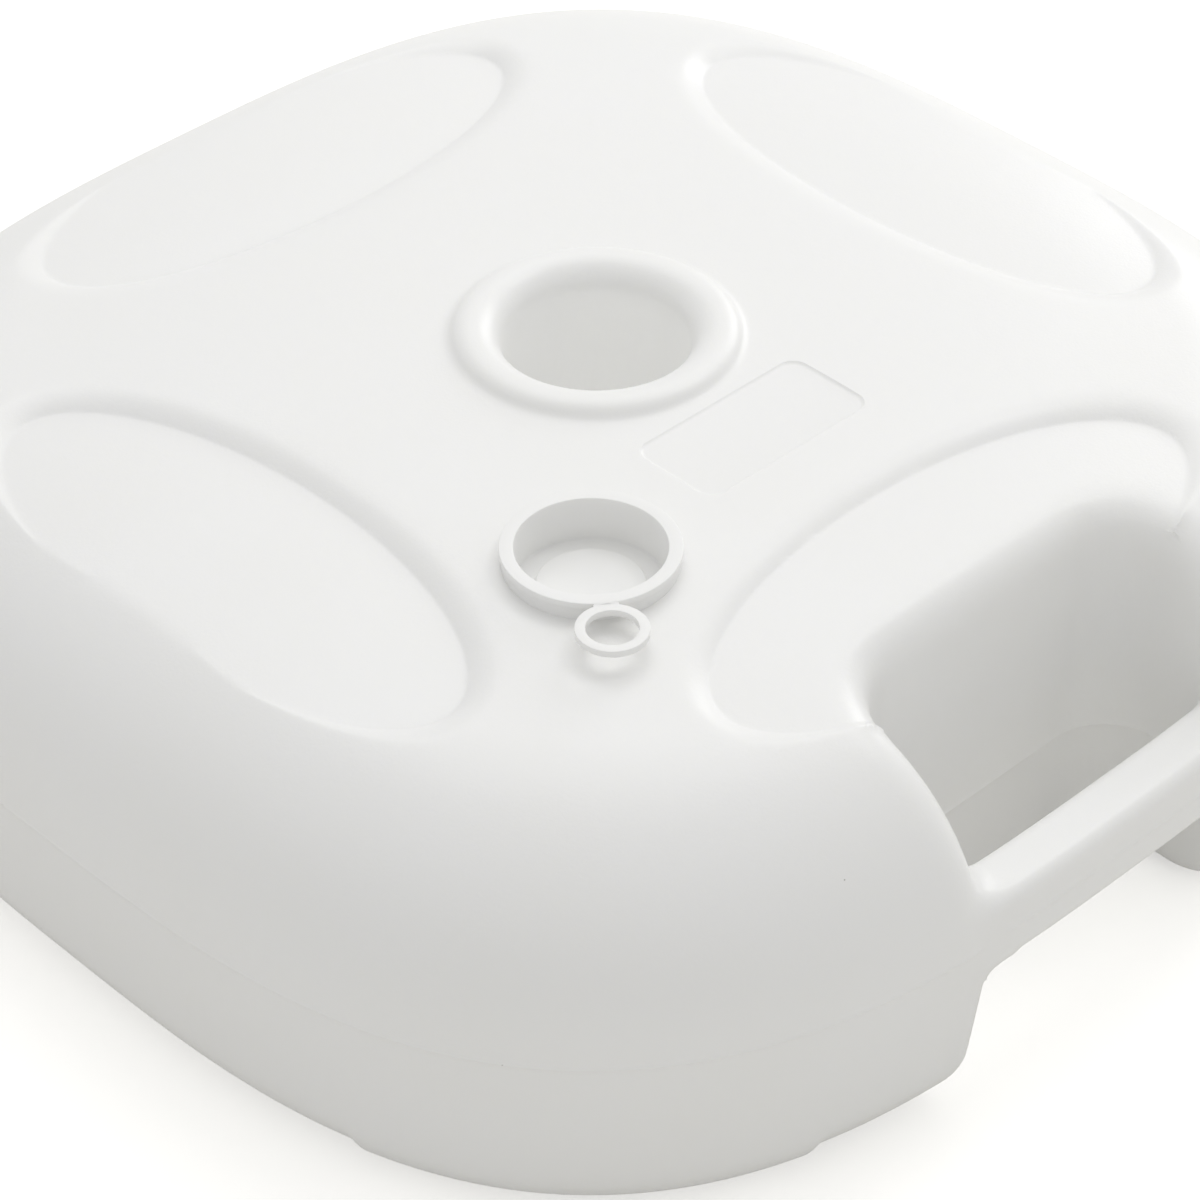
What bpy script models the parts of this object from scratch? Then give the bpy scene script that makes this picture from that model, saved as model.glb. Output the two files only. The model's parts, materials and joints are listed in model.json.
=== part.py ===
"""Parasol base: a blow-moulded tank for water ballast, its push-in filler plug and the plug's pull ring.

Metres, +Z up. The origin is on the pole bore's axis at the level of the feet. The handle is on the -Y side.
"""

import math

import bmesh
import bpy
from mathutils import Matrix, Vector

# Tank: driving sizes
HALF_WIDTH = 0.228          # at the parting plane, along X and along Y
PLATEAU_HEIGHT = 0.141      # of the flat top above the ground
SQUARENESS = 3.0            # exponent of the plan outline: 2 is a circle
WALL = 0.003
PARTING_HEIGHT = 0.072
SHOULDER_RADIUS = 0.058
BASE_RADIUS = 0.024
DRAFT_ABOVE = 0.035         # how far the wall leans in for each metre above the parting plane
DRAFT_BELOW = 0.085
CROWN = 0.006               # how much lower the plateau is where the shoulder starts
CROWN_START = 0.070         # the plateau is level inside this half-width
CROWN_SHARES = (0.6, 0.0)   # where the crown's rings stand, from the level middle 0 to the shoulder 1
LEAST_ROUNDING = 0.004      # the hollow's own rounding at its floor
RECESS_DEPTH = 0.003        # how far the underside stands above the ground between the corner feet
FOOT_INNER = 0.115          # where the corner feet start, from the middle along X and Y

# Pole bore
BORE_RADIUS = 0.030
FLARE_RADIUS = 0.0095       # rounding of the bore's mouth
CREST_FLAT = 0.0003         # level width of the bead's crest between its outer and inner rounding
BEAD_SHOULDER = 0.0062      # width of the rounding from the bead's crest down to the plateau
BEAD_HEIGHT = 0.0042
BEAD_RADIUS = BORE_RADIUS + FLARE_RADIUS + CREST_FLAT + BEAD_SHOULDER

# The four shallow dishes in the top, one at the middle of each side
DISH_FROM_SIDE = 0.0754     # middle of the dish's floor, in from the tank's side
DISH_DISTANCE = HALF_WIDTH - DISH_FROM_SIDE
DISH_LONG = 0.0966
DISH_SHORT = 0.0382
DISH_DEPTH = 0.0071         # of the floor's rim, halfway out
DISH_DOME = 0.0020          # how far the floor's middle stands above its rim
DISH_TILT = 0.055           # fall of the floor's rim for each metre outwards
DISH_RAMP = 1.2             # run over rise of the slope round the floor

# Handle notch and its bar
NOTCH_HALF_WIDTH = 0.059
NOTCH_DEPTH = 0.062         # from the tank's side to the notch's back wall, at the parting plane
NOTCH_BACK = HALF_WIDTH - NOTCH_DEPTH
NOTCH_CORNER = 0.022
NOTCH_DRAFT = 0.06
NOTCH_ROLLOVER = 0.012      # rounding where the dish turns down into the notch
BAR_THICK = 0.019           # across, from the hand's side to the front
BAR_TALL = 0.027
BAR_SET_BACK = 0.0010       # of the bar's front behind the tank's side
BAR_SQUARENESS = 3.5
BAR_OVERLAP = 0.014         # how far the bar runs into the tank past the notch's side walls

# Filler neck, plug and pull ring
FILLER_X = -0.0806
FILLER_Y = -0.0806
FLANGE_THICK = 0.0022
FLANGE_OVERHANG = 0.00055   # of the flange past the neck's outside
CUP_RADIUS = 0.0228         # inside the plug's cup
CUP_WALL = 0.0016
CUP_DEPTH = 0.0150
CUP_FLOOR = 0.0020
DISC_RADIUS = 0.0165        # raised disc in the cup's floor
DISC_HEIGHT = 0.0012
RIB_HEIGHT = 0.0003
RIB_WIDTH = 0.0012
RIB_LEVELS = (0.0045, 0.0085)
FIT_GAP = 0.0003            # between pieces that touch or slide
NECK_WALL = 0.0016
NECK_HEIGHT = 0.0020        # above the plateau
NECK_LENGTH = 0.0120
NECK_BORE = CUP_RADIUS + CUP_WALL + RIB_HEIGHT + FIT_GAP
NECK_TOP = PLATEAU_HEIGHT + NECK_HEIGHT
FLANGE_RADIUS = NECK_BORE + NECK_WALL + FLANGE_OVERHANG
RING_HOLE_RADIUS = 0.0078
RING_WIDTH = 0.0031
RING_THICK = 0.0022
RING_EDGE = 0.0004          # chamfer on the ring's edges
RING_ANGLE = -125           # degrees, the direction from the plug's middle to the ring's
TAB_WIDTH = 0.0075
TAB_ROOT = 0.0019           # how far the tab reaches under the fold before the flange's clearance trims it

# Looks
TANK_COLOUR = (0.86, 0.86, 0.84)
TANK_ROUGHNESS = 0.42
PLUG_COLOUR = (0.88, 0.88, 0.86)
PLUG_ROUGHNESS = 0.38
SHARP_ANGLE = 35            # degrees between two faces, above which their edge isn't shaded smooth

# How finely round shapes are divided
PLAN_SIDES = 64
SHOULDER_STEPS = 7
BASE_STEPS = 4
ROUNDING_STEPS = 5
NOTCH_CORNER_STEPS = 5
ROLLOVER_STEPS = 4
DOME_STEPS = 3
BAR_SIDES = 16
BAR_STATIONS = 9
ROUND_SIDES = 48

PAST = 0.030                # how far a cutter runs past what it cuts


def new_collection(name, hidden=False):
    made = bpy.data.collections.new(name)
    bpy.context.scene.collection.children.link(made)
    made.hide_render = hidden
    return made


def new_object(name, bm, collection, material=None):
    mesh = bpy.data.meshes.new(name)
    bm.to_mesh(mesh)
    bm.free()
    made = bpy.data.objects.new(name, mesh)
    collection.objects.link(made)
    if material:
        mesh.materials.append(material)
        mesh.shade_smooth()
        mesh.set_sharp_from_angle(angle=math.radians(SHARP_ANGLE))
    return made


def new_cutter(name, bm):
    made = new_object(name, bm, CUTTERS)
    made.hide_render = True
    made.display_type = "WIRE"
    return made


def new_material(name, colour, roughness):
    made = bpy.data.materials.new(name)
    made.use_nodes = True
    shader = made.node_tree.nodes["Principled BSDF"]
    shader.inputs["Base Color"].default_value = (*colour, 1.0)
    shader.inputs["Roughness"].default_value = roughness
    shader.inputs["Metallic"].default_value = 0.0
    return made


def boolean(target, operation, other):
    modifier = target.modifiers.new(f"{operation.lower()} {other.name}", "BOOLEAN")
    modifier.operation = operation
    modifier.solver = "EXACT"
    modifier.object = other


def plan_reach(angle):
    """Distance from the middle to a squarish outline of half-width 1, in the direction of the angle."""
    along_x = abs(math.cos(angle)) ** SQUARENESS
    along_y = abs(math.sin(angle)) ** SQUARENESS
    return (along_x + along_y) ** (-1 / SQUARENESS)


def wall_half_width(height):
    """Half-width of the tank's drafted side wall at a height."""
    if height < PARTING_HEIGHT:
        return HALF_WIDTH - DRAFT_BELOW * (PARTING_HEIGHT - height)
    return HALF_WIDTH - DRAFT_ABOVE * (height - PARTING_HEIGHT)


def shoulder():
    """Half-width and height of the centre of the shoulder's rounding, and its radius, limited by the wall."""
    radius = min(SHOULDER_RADIUS, PLATEAU_HEIGHT - CROWN - PARTING_HEIGHT - LEAST_ROUNDING)
    height = PLATEAU_HEIGHT - CROWN - radius
    return wall_half_width(height) - radius, height, radius


def body_profile(inset, floor):
    """(half-width, height) of each ring of the tank's skin, from the floor up to the level plateau."""
    rings = []
    base = max(BASE_RADIUS - inset, LEAST_ROUNDING)
    base_height = floor + base
    base_centre = wall_half_width(base_height) - inset - base
    for step in range(BASE_STEPS + 1):
        angle = math.radians(90) * step / BASE_STEPS
        rings.append((base_centre + base * math.sin(angle), base_height - base * math.cos(angle)))
    rings.append((HALF_WIDTH - inset, PARTING_HEIGHT))
    centre, height, radius = shoulder()
    for step in range(SHOULDER_STEPS + 1):
        angle = math.radians(90) * step / SHOULDER_STEPS
        grown = radius - inset
        rings.append((centre + grown * math.cos(angle), height + grown * math.sin(angle)))
    for share in CROWN_SHARES:
        half = CROWN_START + (centre - CROWN_START) * share
        rings.append((half, PLATEAU_HEIGHT - inset - CROWN * share ** 2))
    return rings


def stacked(outline, rings):
    """A closed solid of stacked copies of a flat outline, each ring being (x scale, y scale, x, y, z)."""
    bm = bmesh.new()
    verts = [bm.verts.new((x, y, 0)) for x, y in outline]
    bm.faces.new(verts)
    edges = list(bm.edges)
    flat = {vert: Vector(vert.co) for vert in verts}
    place(verts, flat, rings[0])
    for ring in rings[1:]:
        made = bmesh.ops.extrude_edge_only(bm, edges=edges)["geom"]
        edges = [item for item in made if isinstance(item, bmesh.types.BMEdge)]
        edges = [edge for edge in edges if edge.is_boundary]
        verts = [item for item in made if isinstance(item, bmesh.types.BMVert)]
        flat = matched(verts, flat)
        place(verts, flat, ring)
    bmesh.ops.edgeloop_fill(bm, edges=edges)
    bmesh.ops.recalc_face_normals(bm, faces=bm.faces)
    return bm


def matched(verts, flat):
    """Each new vertex's place on the flat outline, from the old vertex that it was extruded from."""
    found = {}
    for vert in verts:
        old = next(edge.other_vert(vert) for edge in vert.link_edges if edge.other_vert(vert) in flat)
        found[vert] = flat[old]
    return found


def place(verts, flat, ring):
    scale_x, scale_y, x, y, z = ring
    for vert in verts:
        vert.co = (flat[vert].x * scale_x + x, flat[vert].y * scale_y + y, z)


def body_solid(inset, floor):
    angles = [math.tau * step / PLAN_SIDES for step in range(PLAN_SIDES)]
    outline = [(plan_reach(a) * math.cos(a), plan_reach(a) * math.sin(a)) for a in angles]
    return stacked(outline, [(half, half, 0, 0, z) for half, z in body_profile(inset, floor)])


def dish_solid(inset):
    """What a dish takes out of the top, on the +X side, grown by the inset."""
    angles = [math.tau * step / ROUND_SIDES for step in range(ROUND_SIDES)]
    outline = [(math.cos(a), math.sin(a)) for a in angles]
    floor = PLATEAU_HEIGHT - DISH_DEPTH - inset
    rise = DISH_DEPTH + PAST
    grown = inset * (math.hypot(1, DISH_RAMP) - DISH_RAMP)
    rings = []
    for step in range(1, DOME_STEPS + 1):
        share = step / DOME_STEPS
        level = floor + DISH_DOME * (1 - share ** 2)
        rings.append((share * (DISH_SHORT + grown), share * (DISH_LONG + grown), DISH_DISTANCE, 0, level))
    run = rise * DISH_RAMP + grown
    rings.append((DISH_SHORT + run, DISH_LONG + run, DISH_DISTANCE, 0, floor + rise))
    bm = stacked(outline, rings)
    for vert in bm.verts:
        vert.co.z -= DISH_TILT * (vert.co.x - DISH_DISTANCE)
    return bm


def notch_solid(inset):
    """What the handle notch takes out of the tank, grown by the inset; it opens to -Y, up and down."""
    front = -(HALF_WIDTH + PAST)
    bm = bmesh.new()
    bmesh.ops.create_grid(bm, x_segments=1, y_segments=1, size=1)
    for vert in bm.verts:
        vert.co.x *= NOTCH_HALF_WIDTH
        vert.co.y = front if vert.co.y < 0 else -NOTCH_BACK
    corners = [vert for vert in bm.verts if vert.co.y > front]
    bmesh.ops.bevel(bm, geom=corners, offset=NOTCH_CORNER, segments=NOTCH_CORNER_STEPS, profile=0.5,
                     affect="VERTICES")
    face = bm.faces[:][0]
    outline = [(loop.vert.co.x, loop.vert.co.y - front) for loop in face.loops]
    bm.free()
    depth = -NOTCH_BACK - front

    def ring(grown, height):
        return (1 + grown / NOTCH_HALF_WIDTH, 1 + grown / depth, 0, front, height)

    rim = PLATEAU_HEIGHT - DISH_DEPTH
    rings = [
        ring(inset + NOTCH_DRAFT * (PARTING_HEIGHT + PAST), -PAST),
        ring(inset, PARTING_HEIGHT),
    ]
    wall_top = rim - NOTCH_ROLLOVER
    grown_top = inset + NOTCH_DRAFT * (wall_top - PARTING_HEIGHT)
    for step in range(ROLLOVER_STEPS):
        angle = math.radians(90) * step / ROLLOVER_STEPS
        grown = grown_top + NOTCH_ROLLOVER * (1 - math.cos(angle))
        rings.append(ring(grown, wall_top + NOTCH_ROLLOVER * math.sin(angle) - inset))
    rings.append(ring(grown_top + NOTCH_ROLLOVER, rim - inset))
    rings.append(ring(grown_top + NOTCH_ROLLOVER, rim + PAST))
    return stacked(outline, rings)


def bar_solid(inset, reach):
    """The handle bar, or its hollow when inset: a rounded section that follows the bulge of the side."""
    section = []
    for step in range(BAR_SIDES):
        angle = math.tau * step / BAR_SIDES
        c, s = math.cos(angle), math.sin(angle)
        size = (abs(c) ** BAR_SQUARENESS + abs(s) ** BAR_SQUARENESS) ** (-1 / BAR_SQUARENESS)
        section.append((size * c, size * s))
    rings = []
    for step in range(BAR_STATIONS):
        x = reach * (2 * step / (BAR_STATIONS - 1) - 1)
        side = HALF_WIDTH * (1 - (abs(x) / HALF_WIDTH) ** SQUARENESS) ** (1 / SQUARENESS)
        y = -(side - BAR_SET_BACK - BAR_THICK / 2)
        rings.append((BAR_TALL / 2 - inset, BAR_THICK / 2 - inset, 0, y, x))
    bm = stacked(section, rings)
    # The stack runs up Z: turn it to run along X, with its first axis along Z.
    turn = Matrix(((0, 0, 1, 0), (0, 1, 0, 0), (-1, 0, 0, PARTING_HEIGHT), (0, 0, 0, 1)))
    bmesh.ops.transform(bm, matrix=turn, verts=bm.verts)
    return bm


def turned(profile, name, material=None):
    """A solid turned about the object's Z from (radius, height) points; they may stay clear of the axis."""
    bm = bmesh.new()
    verts = [bm.verts.new((radius, 0, height)) for radius, height in profile]
    for first, second in zip(verts, verts[1:]):
        bm.edges.new((first, second))
    if profile[0][0] > 0:
        bm.edges.new((verts[-1], verts[0]))
    made = new_object(name, bm, PARTS, material) if material else new_cutter(name, bm)
    screw = made.modifiers.new("turn", "SCREW")
    screw.steps = ROUND_SIDES
    screw.render_steps = ROUND_SIDES
    screw.use_merge_vertices = True
    screw.merge_threshold = 0.00001
    return made


def cylinder(name, radius, low, high, x=0.0, y=0.0):
    bm = bmesh.new()
    depth = high - low
    place_at = Matrix.Translation((x, y, (low + high) / 2))
    bmesh.ops.create_cone(bm, cap_ends=True, segments=ROUND_SIDES, radius1=radius, radius2=radius,
                          depth=depth, matrix=place_at)
    return new_cutter(name, bm)


def rounded(centre_radius, centre_height, wide, tall, start, end):
    """Points along an ellipse in a turned profile, between two angles in degrees; 0 points outwards."""
    points = []
    for step in range(ROUNDING_STEPS + 1):
        angle = math.radians(start + (end - start) * step / ROUNDING_STEPS)
        points.append((centre_radius + wide * math.cos(angle), centre_height + tall * math.sin(angle)))
    return points


def bead_cutter():
    """The raised rim round the bore, still solid: the bore cuts it afterwards."""
    arc = rounded(BEAD_RADIUS - BEAD_SHOULDER, PLATEAU_HEIGHT, BEAD_SHOULDER, BEAD_HEIGHT, 90, 0)
    low = PLATEAU_HEIGHT - WALL / 2
    profile = [(0, PLATEAU_HEIGHT + BEAD_HEIGHT), *arc, (BEAD_RADIUS, low), (0, low)]
    return turned(profile, "bead")


def bore_cutter():
    """The pole bore with its flared mouth, which stops just short of the bead's crest."""
    mouth = PLATEAU_HEIGHT + BEAD_HEIGHT
    wide = BORE_RADIUS + FLARE_RADIUS
    arc = rounded(wide, mouth - FLARE_RADIUS, FLARE_RADIUS, FLARE_RADIUS, 90, 180)
    profile = [(0, mouth + PAST), (wide, mouth + PAST), *arc, (BORE_RADIUS, -PAST), (0, -PAST)]
    return turned(profile, "bore")


def recess_cutter(name, half_x, half_y):
    """A slab that lifts the underside clear of the ground between the corner feet."""
    bm = bmesh.new()
    size = Matrix.Diagonal((2 * half_x, 2 * half_y, PAST + RECESS_DEPTH, 1))
    bmesh.ops.create_cube(bm, size=1, matrix=Matrix.Translation((0, 0, (RECESS_DEPTH - PAST) / 2)) @ size)
    return new_cutter(name, bm)


def dish_cutters(prefix, inset):
    made = []
    for side in range(4):
        bm = dish_solid(inset)
        bmesh.ops.rotate(bm, matrix=Matrix.Rotation(math.radians(90) * side, 3, "Z"), verts=bm.verts)
        made.append(new_cutter(f"{prefix}_{side}", bm))
    return made


def build_cavity():
    """The hollow inside the tank, which the walls, the bore's tube, the dishes and the notch leave free."""
    cavity = new_cutter("cavity", body_solid(WALL, RECESS_DEPTH + WALL))
    for dish in dish_cutters("dish_back", WALL):
        boolean(cavity, "DIFFERENCE", dish)
    boolean(cavity, "DIFFERENCE", new_cutter("notch_back", notch_solid(WALL)))
    tube = cylinder("bore_tube", BORE_RADIUS + WALL, -PAST, PLATEAU_HEIGHT + PAST)
    boolean(cavity, "DIFFERENCE", tube)
    reach = NOTCH_HALF_WIDTH + BAR_OVERLAP + WALL / 2
    boolean(cavity, "UNION", new_cutter("bar_hollow", bar_solid(WALL, reach)))
    return cavity


def build_tank():
    """One hollow moulding with the handle bar, the bore's tube, the filler neck and the feet."""
    plastic = new_material("tank_plastic", TANK_COLOUR, TANK_ROUGHNESS)
    tank = new_object("tank", body_solid(0, 0), PARTS, plastic)
    for dish in dish_cutters("dish", 0):
        boolean(tank, "DIFFERENCE", dish)
    boolean(tank, "DIFFERENCE", new_cutter("notch", notch_solid(0)))
    boolean(tank, "UNION", new_cutter("bar", bar_solid(0, NOTCH_HALF_WIDTH + BAR_OVERLAP)))
    far = HALF_WIDTH + PAST
    boolean(tank, "DIFFERENCE", recess_cutter("recess_across", far, FOOT_INNER))
    boolean(tank, "DIFFERENCE", recess_cutter("recess_along", FOOT_INNER, far))
    boolean(tank, "DIFFERENCE", build_cavity())
    boolean(tank, "UNION", bead_cutter())
    neck = cylinder("neck", NECK_BORE + NECK_WALL, NECK_TOP - NECK_LENGTH, NECK_TOP, FILLER_X, FILLER_Y)
    boolean(tank, "UNION", neck)
    boolean(tank, "DIFFERENCE", bore_cutter())
    below = NECK_TOP - NECK_LENGTH - WALL
    hole = cylinder("neck_bore", NECK_BORE, below, NECK_TOP + PAST, FILLER_X, FILLER_Y)
    boolean(tank, "DIFFERENCE", hole)
    return tank


def build_plug():
    """The push-in filler plug: a cup under a flat flange, with two seal ribs round it."""
    cup_floor = FLANGE_THICK - CUP_DEPTH
    outer = CUP_RADIUS + CUP_WALL
    profile = [(0, cup_floor + DISC_HEIGHT), (DISC_RADIUS, cup_floor + DISC_HEIGHT)]
    profile += [(DISC_RADIUS, cup_floor)]
    profile += [(CUP_RADIUS, cup_floor), (CUP_RADIUS, FLANGE_THICK), (FLANGE_RADIUS, FLANGE_THICK)]
    profile += [(FLANGE_RADIUS, 0), (outer, 0)]
    for level in RIB_LEVELS:
        profile += [(outer, RIB_WIDTH / 2 - level), (outer + RIB_HEIGHT, -level)]
        profile += [(outer, -level - RIB_WIDTH / 2)]
    profile += [(outer, cup_floor - CUP_FLOOR), (0, cup_floor - CUP_FLOOR)]
    plug = turned(profile, "filler_plug", new_material("plug_plastic", PLUG_COLOUR, PLUG_ROUGHNESS))
    plug.location = (FILLER_X, FILLER_Y, NECK_TOP + FIT_GAP)
    return plug


def build_pull_ring(plug):
    """The finger ring beside the flange, on a short tab; its parent empty is on the fold that it turns on."""
    direction = math.radians(RING_ANGLE)
    fold = bpy.data.objects.new("ring_fold", None)
    PARTS.objects.link(fold)
    fold.parent = plug
    fold.location = ((FLANGE_RADIUS + FIT_GAP / 2) * math.cos(direction),
                     (FLANGE_RADIUS + FIT_GAP / 2) * math.sin(direction), FLANGE_THICK)
    fold.rotation_euler = (0, 0, direction)
    hole, outer = RING_HOLE_RADIUS, RING_HOLE_RADIUS + RING_WIDTH
    edge, low = RING_EDGE, -RING_THICK
    profile = [(hole, -edge), (hole + edge, 0), (outer - edge, 0), (outer, -edge)]
    profile += [(outer, low + edge), (outer - edge, low), (hole + edge, low), (hole, low + edge)]
    ring = turned(profile, "pull_ring", new_material("ring_plastic", PLUG_COLOUR, PLUG_ROUGHNESS))
    ring.parent = fold
    ring.location = (outer + FIT_GAP / 2, 0, 0)
    bm = bmesh.new()
    end = RING_WIDTH / 2 + FIT_GAP
    size = Matrix.Diagonal((end + TAB_ROOT, TAB_WIDTH, RING_THICK - 2 * RING_EDGE, 1))
    bmesh.ops.create_cube(bm, size=1, matrix=Matrix.Translation(((end - TAB_ROOT) / 2, 0, low / 2)) @ size)
    tab = new_cutter("tab", bm)
    tab.parent = fold
    boolean(ring, "UNION", tab)
    clearance = cylinder("flange_clearance", FLANGE_RADIUS + FIT_GAP, -PAST, PAST)
    clearance.parent = plug
    boolean(ring, "DIFFERENCE", clearance)


def main():
    build_tank()
    build_pull_ring(build_plug())


for old in list(bpy.data.objects):
    bpy.data.objects.remove(old, do_unlink=True)
PARTS = new_collection("parasol_base")
CUTTERS = new_collection("cutters", hidden=True)
main()
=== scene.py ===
"""Parasol base: a blow-moulded tank for water ballast, its push-in filler plug and the plug's pull ring.

Metres, +Z up. The origin is on the pole bore's axis at the level of the feet, and the handle is on the -Y side.
"""

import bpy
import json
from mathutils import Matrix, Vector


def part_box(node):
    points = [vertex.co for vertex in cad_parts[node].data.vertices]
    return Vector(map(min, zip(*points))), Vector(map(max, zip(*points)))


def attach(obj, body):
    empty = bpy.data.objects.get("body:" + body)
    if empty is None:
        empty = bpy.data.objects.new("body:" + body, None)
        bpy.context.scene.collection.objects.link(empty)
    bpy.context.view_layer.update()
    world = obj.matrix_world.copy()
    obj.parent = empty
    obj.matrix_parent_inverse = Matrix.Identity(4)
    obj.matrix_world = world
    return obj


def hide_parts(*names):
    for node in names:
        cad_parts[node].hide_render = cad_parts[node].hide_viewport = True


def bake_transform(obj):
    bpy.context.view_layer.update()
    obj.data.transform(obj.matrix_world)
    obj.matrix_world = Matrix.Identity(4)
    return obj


bl_info = {
    "name": "Parasol Base",
    "version": (1, 0, 0),
    "blender": (4, 5, 0),
    "location": "View3D > Sidebar > Parasol Base",
    "description": "Models a blow-moulded parasol base with its filler plug and pull ring",
    "category": "Add Mesh",
}

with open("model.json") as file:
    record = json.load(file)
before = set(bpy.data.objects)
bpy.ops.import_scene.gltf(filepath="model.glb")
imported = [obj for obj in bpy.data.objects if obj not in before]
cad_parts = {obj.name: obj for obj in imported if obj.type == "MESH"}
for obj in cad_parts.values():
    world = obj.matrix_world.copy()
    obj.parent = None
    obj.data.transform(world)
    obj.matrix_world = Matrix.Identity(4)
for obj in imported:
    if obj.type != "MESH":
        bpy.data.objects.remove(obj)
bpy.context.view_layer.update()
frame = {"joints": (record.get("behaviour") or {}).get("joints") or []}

import json
import math

import bmesh
import bpy
import numpy as np
from bpy.props import FloatProperty, FloatVectorProperty, PointerProperty
from mathutils import Matrix, Vector

TANK_LOW, TANK_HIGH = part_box("tank")
PLUG_LOW, PLUG_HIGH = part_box("filler_plug")
RING_LOW, RING_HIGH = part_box("pull_ring")
FOLD = Vector(next(joint["pos_m"] for joint in frame["joints"] if joint["name"] == "ring_fold"))
FILLER = Vector(((PLUG_LOW.x + PLUG_HIGH.x) / 2, (PLUG_LOW.y + PLUG_HIGH.y) / 2, PLUG_HIGH.z))
TINY = 1e-6
SPECK_CELLS = 55.0  # cells to a metre, each with at most one speck
SPECKED_SHARE = 0.30
CLOUD_TINT = (0.975, 0.972, 0.955)
GLOSS_SWING = (-0.05, 0.06)


def length(name, description, default):
    return FloatProperty(name=name, description=description, default=default, min=0, unit="LENGTH", precision=4)


def ratio(name, description, default):
    return FloatProperty(name=name, description=description, default=default, min=0, subtype="FACTOR")


def colour(name, description, default):
    return FloatVectorProperty(name=name, description=description, default=default, min=0, max=1, subtype="COLOR")


class TankSizes(bpy.types.PropertyGroup):
    half_width: length("Half width", "Half the tank's width, below its mould line", TANK_HIGH.x - 0.0003)
    plateau: length("Plateau height", "Height of the flat top above the ground", 0.141)
    squareness: FloatProperty(name="Squareness", description="Exponent of the outline; 2 is a circle", default=3.0)
    wall: length("Wall", "Thickness of the moulded wall", 0.003)
    parting: length("Parting height", "Height at which the mould's halves meet", 0.072)
    shoulder: length("Shoulder radius", "Rounding from the top down to the side", 0.058)
    base: length("Base radius", "Rounding from the side to the underside", 0.024)
    draft_above: ratio("Upper draft", "Lean of the side above the parting line", 0.035)
    draft_below: ratio("Lower draft", "Lean of the side below the parting line", 0.085)
    crown: length("Crown", "Fall of the top from its middle to the shoulder", 0.006)
    crown_start: length("Crown start", "Half width of the level middle", 0.070)
    crown_run: ratio("Crown run", "How far the crown runs, against the way to the shoulder", 1.3)
    foot_inner: length("Foot start", "Distance of the corner feet from the middle", 0.115)
    foot_height: length("Foot height", "How far the underside stands above the ground between the feet", 0.003)
    foot_edge: length("Foot edge", "Run of the slope up from a foot", 0.004)
    grid: length("Mesh size", "Edge length of the skin's mesh where it is smooth", 0.0042)
    inner_grid: length("Inner mesh size", "Edge length of the inner skin's mesh", 0.0080)
    seam: length("Seam height", "How far the mould's parting line stands out", 0.00024)
    seam_run: length("Seam run", "Half width of the parting line", 0.0007)


class MouthSizes(bpy.types.PropertyGroup):
    bore: length("Bore radius", "Radius of the pole bore", 0.030)
    bead: length("Bead radius", "Radius at which the raised rim meets the top", 0.046)
    bead_height: length("Bead height", "Height of the raised rim", 0.0042)
    bead_shoulder: length("Bead shoulder", "Width of the rounding down to the top", 0.0062)
    crest: length("Crest width", "Level width of the rim's crest", 0.0003)
    foot: length("Foot rounding", "Rounding where the rim meets the top", 0.0030)
    lower_edge: length("Lower edge", "Rounding at the bore's lower end", 0.003)


class DishSizes(bpy.types.PropertyGroup):
    distance: length("Distance", "Distance of a dish's middle from the bore", 0.1526)
    long: length("Long half", "Half length of a dish's floor", 0.0966)
    short: length("Short half", "Half width of a dish's floor", 0.0382)
    depth: length("Depth", "Depth of the floor's rim, halfway out", 0.0071)
    tilt: ratio("Tilt", "Fall of the floor's rim outwards", 0.055)
    dome: length("Dome", "How far the floor's middle stands above its rim", 0.0020)
    sag: length("Sag", "Extra depth at the floor's two ends", 0.0014)
    ramp: ratio("Ramp", "Run over rise of the slope round the floor", 1.35)
    crease: length("Crease", "Rounding between the floor and its slope", 0.0006)
    rollover: length("Rollover", "Rounding from the slope to the top", 0.014)
    reach: ratio("Rollover reach", "Most that the rounding spreads, against the dish's depth there", 1.35)
    panel_middle: length("Panel distance", "Distance of the plain panel's middle from the bore", 0.0687)
    panel_long: length("Panel half length", "Half length of the plain panel beside the handle", 0.0360)
    panel_short: length("Panel half width", "Half width of the plain panel", 0.0176)
    panel_corner: length("Panel corner", "Corner radius of the plain panel", 0.0065)
    panel_depth: length("Panel depth", "Depth of the plain panel", 0.0006)
    panel_fall: ratio("Panel fall", "Fall of the panel's floor outwards", 0.005)
    panel_edge: length("Panel edge", "Rounding at the foot of the panel's edge", 0.0022)


class HandleSizes(bpy.types.PropertyGroup):
    half_width: length("Half width", "Half width of the notch at the parting line", 0.059)
    back: length("Back", "Distance of the notch's back wall from the bore", 0.166)
    corner: length("Corner", "Rounding of the notch's back corners", 0.022)
    draft: ratio("Draft", "Lean of the notch's walls", 0.06)
    rollover: length("Upper rollover", "Rounding of the notch's upper rim", 0.0145)
    lower_rollover: length("Lower rollover", "Rounding of the notch's lower rim", 0.008)
    thick: length("Bar thickness", "Thickness of the grip bar, front to back", 0.019)
    tall: length("Bar height", "Height of the grip bar", 0.027)
    edge: length("Bar edge", "Rounding of the bar's long edges", 0.0048)
    set_back: length("Set back", "How far the bar's front stands behind the side", 0.0010)
    overlap: length("Overlap", "How far the bar runs into the tank", 0.014)
    fillet: length("Fillet", "Rounding where the bar meets the tank", 0.012)
    flash: length("Flash height", "Height of the mould line inside the notch", 0.055)


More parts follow.
